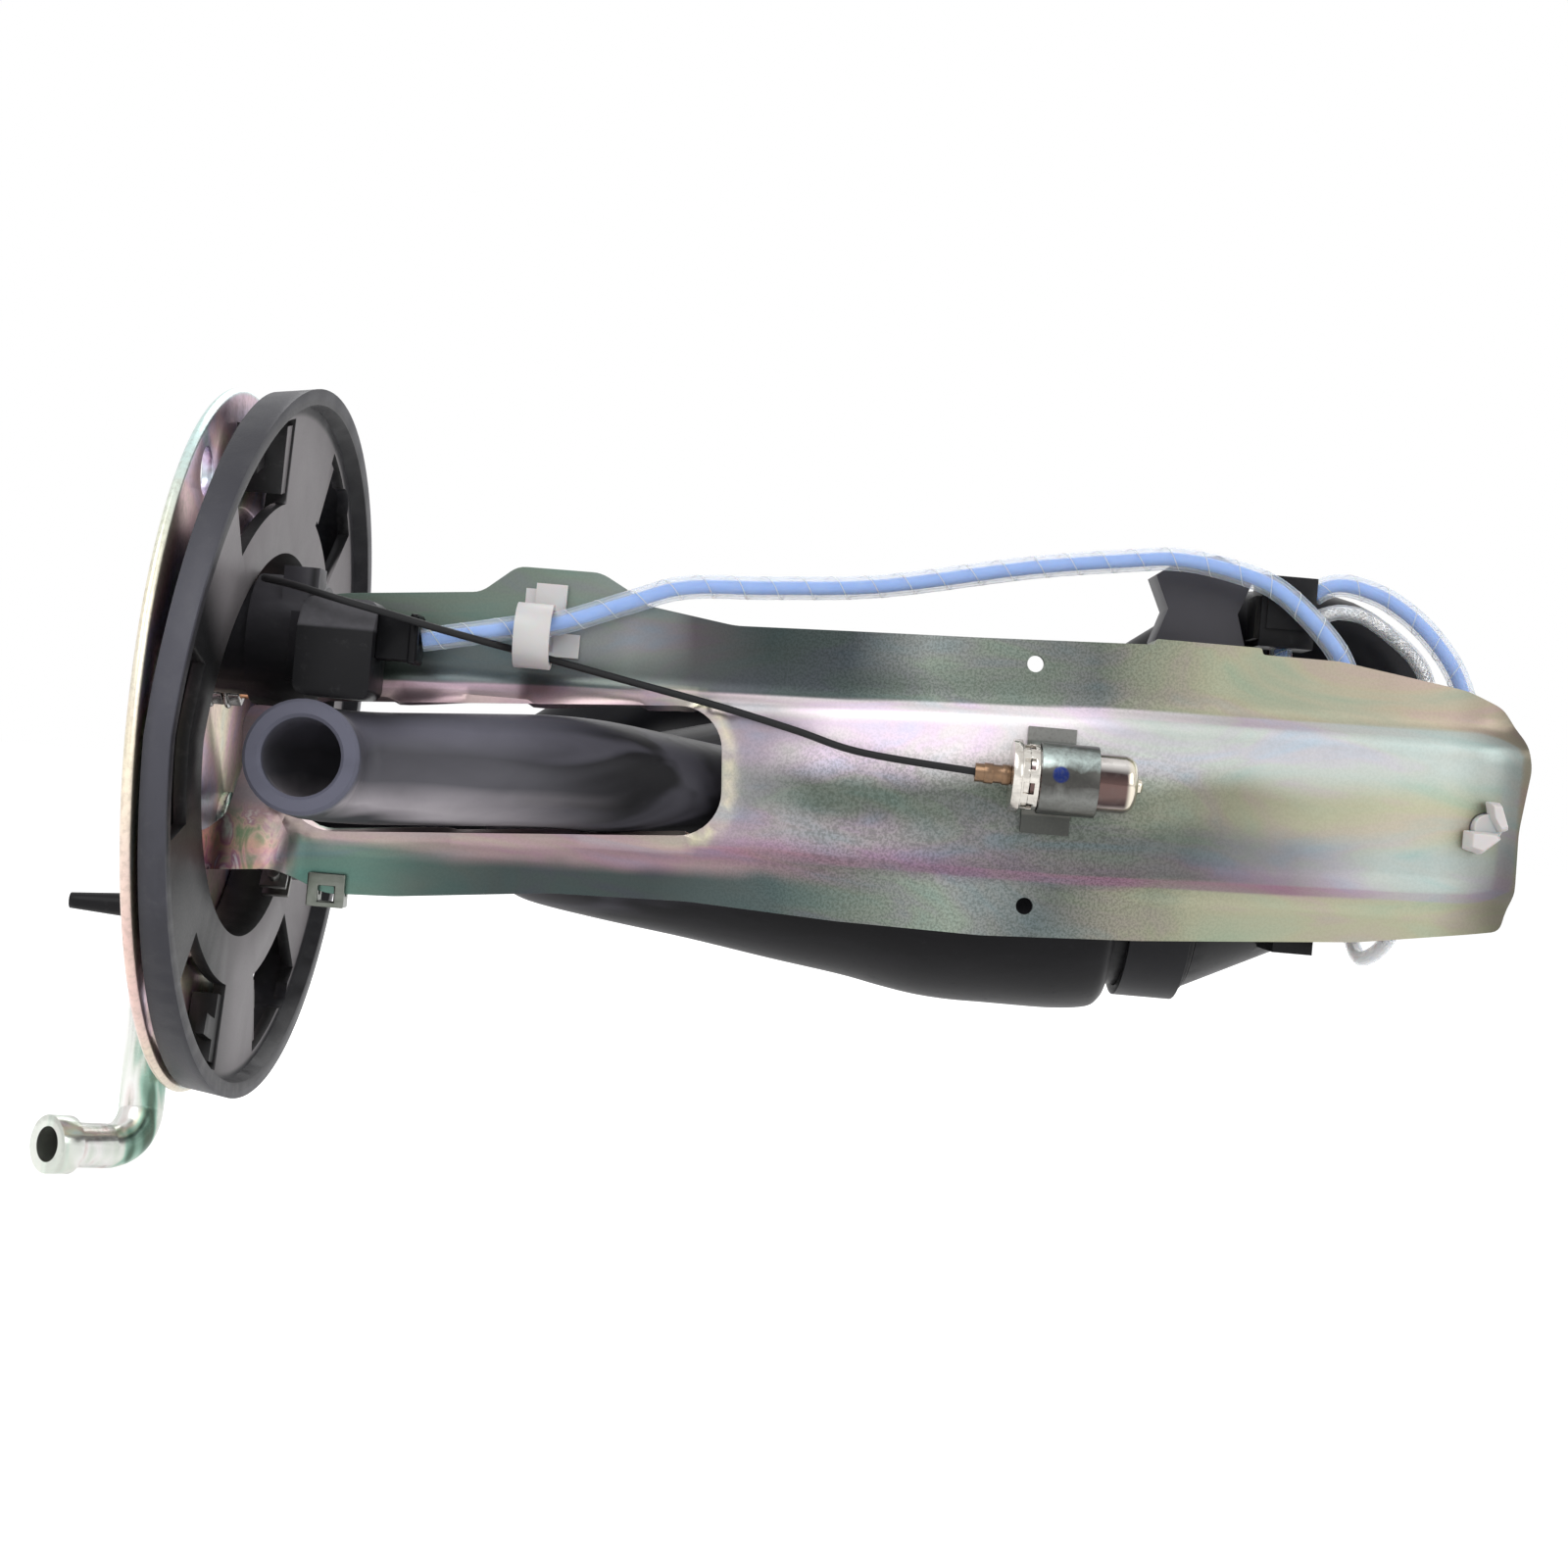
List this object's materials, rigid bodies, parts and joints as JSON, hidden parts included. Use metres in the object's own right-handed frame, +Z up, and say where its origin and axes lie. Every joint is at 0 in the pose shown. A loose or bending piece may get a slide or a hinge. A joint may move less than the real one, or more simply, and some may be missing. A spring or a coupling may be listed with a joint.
{
  "type": "motorcycle fuel pump",
  "caption": "In-tank fuel pump module: round bolted flange, slotted metal bracket, turbine pump in a rubber boot, level sensor, suction hose, outlet pipe and leads.",
  "frame": {"origin": "centre of the stud-hole pattern on the flange's inner face", "axes": "+X along the module into the tank, +Y away from the open side of the bracket, +Z up in the picture"},
  "size_m": [0.2019, 0.1007, 0.113],
  "materials": {
    "zinc_cover": "yellow-iridescent zinc plating",
    "zinc_bracket": "iridescent zinc plating",
    "zinc_bright": "bright zinc plating",
    "tube_steel": "plated steel tube",
    "black_nylon": "satin glass-filled nylon",
    "white_nylon": "translucent natural nylon",
    "black_rubber": "moulded nitrile rubber",
    "brass_pin": "tinned brass",
    "copper_stud": "copper-plated",
    "case_steel": "black coated deep-drawn steel",
    "pump_casting": "machined die casting",
    "impeller_resin": "moulded phenolic resin",
    "ferrite": "ground ferrite",
    "armature_core": "resin-coated steel core with copper windings",
    "ground_steel": "ground steel",
    "bronze": "sintered bronze",
    "carbon": "pressed carbon",
    "spring_steel": "drawn spring wire",
    "sensor_nickel": "nickel plated",
    "lead_blue": "insulated lead",
    "wrap_clear": "clear spiral wrap",
    "lead_grey": "tinned braid in a clear tube",
    "lead_black": "thin insulated lead",
    "thermistor_glass": "glazed bead"
  },
  "bodies": {
    "module": {"flange_plate": "zinc_cover", "retainer_ring": "black_nylon", "outlet_pipe": "tube_steel", "outer_stub": "black_nylon", "terminal_housing": "black_nylon", "socket_pins": "brass_pin", "lead_boot": "black_rubber", "ground_stud": "copper_stud", "stud_nuts": "zinc_bright", "bracket": "zinc_bracket", "edge_clip": "zinc_bright", "wire_clip": "white_nylon", "push_clip": "white_nylon", "suction_boot": "black_rubber", "pump_case": "case_steel", "inlet_cover": "pump_casting", "pump_body": "pump_casting", "magnets": "ferrite", "bearings": "bronze", "brushes": "carbon", "brush_springs": "spring_steel", "outlet_cover": "black_nylon", "check_spring": "spring_steel", "relief_spring": "spring_steel", "pump_terminals": "brass_pin", "pump_strap": "black_rubber", "outlet_hose": "black_rubber", "hose_clamps": "zinc_bright", "lead_connector": "black_nylon", "sensor_can": "sensor_nickel", "sensor_collar": "sensor_nickel", "sensor_ferrule": "brass_pin", "sensor_band": "zinc_bracket", "thermistor": "thermistor_glass", "lead_feed": "lead_blue", "lead_wraps": "wrap_clear", "lead_pump": "lead_blue", "lead_ground": "lead_grey", "lead_sensor": "lead_black"},
    "rotor": {"armature": "armature_core", "shaft": "ground_steel", "commutator": "copper_stud", "impeller": "impeller_resin"},
    "check": {"check_ball": "ground_steel"},
    "relief": {"relief_ball": "ground_steel"}
  },
  "joints": [
    {"name": "rotor_spin", "type": "hinge", "parent": "module", "child": "rotor", "pos_m": [0.115, 0.0085, -0.0055], "axis": [1, 0, 0], "continuous": true},
    {"name": "check_lift", "type": "slide", "parent": "module", "child": "check", "axis": [0, 0, 1], "range_m": [0, 0.0015], "stiffness_N_per_m": 60, "springref_m": -0.003, "deforming": ["check_spring"]},
    {"name": "relief_lift", "type": "slide", "parent": "module", "child": "relief", "axis": [0, 0, -1], "range_m": [0, 0.0012], "stiffness_N_per_m": 500, "springref_m": -0.003, "deforming": ["relief_spring"]}
  ]
}
